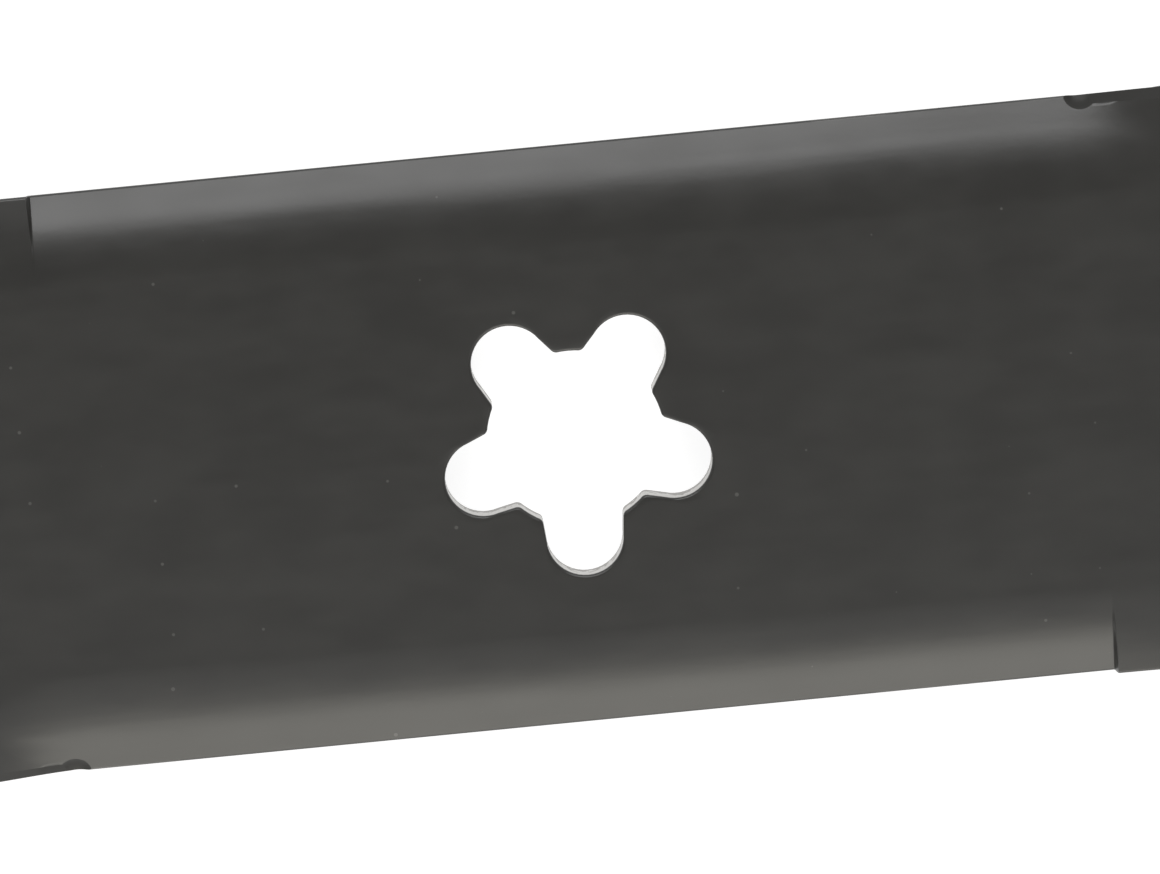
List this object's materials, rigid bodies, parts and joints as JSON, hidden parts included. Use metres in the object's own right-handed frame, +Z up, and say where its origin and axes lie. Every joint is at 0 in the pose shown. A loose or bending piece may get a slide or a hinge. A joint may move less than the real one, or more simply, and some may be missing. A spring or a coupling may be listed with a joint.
{
  "type": "rotary mower blade",
  "caption": "Pressed steel rotary mower blade, painted dark grey, with a star-shaped drive hole, down-turned stiffening flanges, ground cutting edges and raised lift wings.",
  "frame": {"origin": "under the middle of the star hole, on the surface the blade rests on", "axes": "+X along the blade, +Y across it, +Z up along the spindle axis; the blade turns clockwise seen from above"},
  "size_m": [0.5334, 0.0648, 0.0185],
  "materials": {
    "blade_paint": "satin dark grey paint on pressed steel"
  },
  "bodies": {
    "root": {"blade": "blade_paint"}
  },
  "joints": []
}
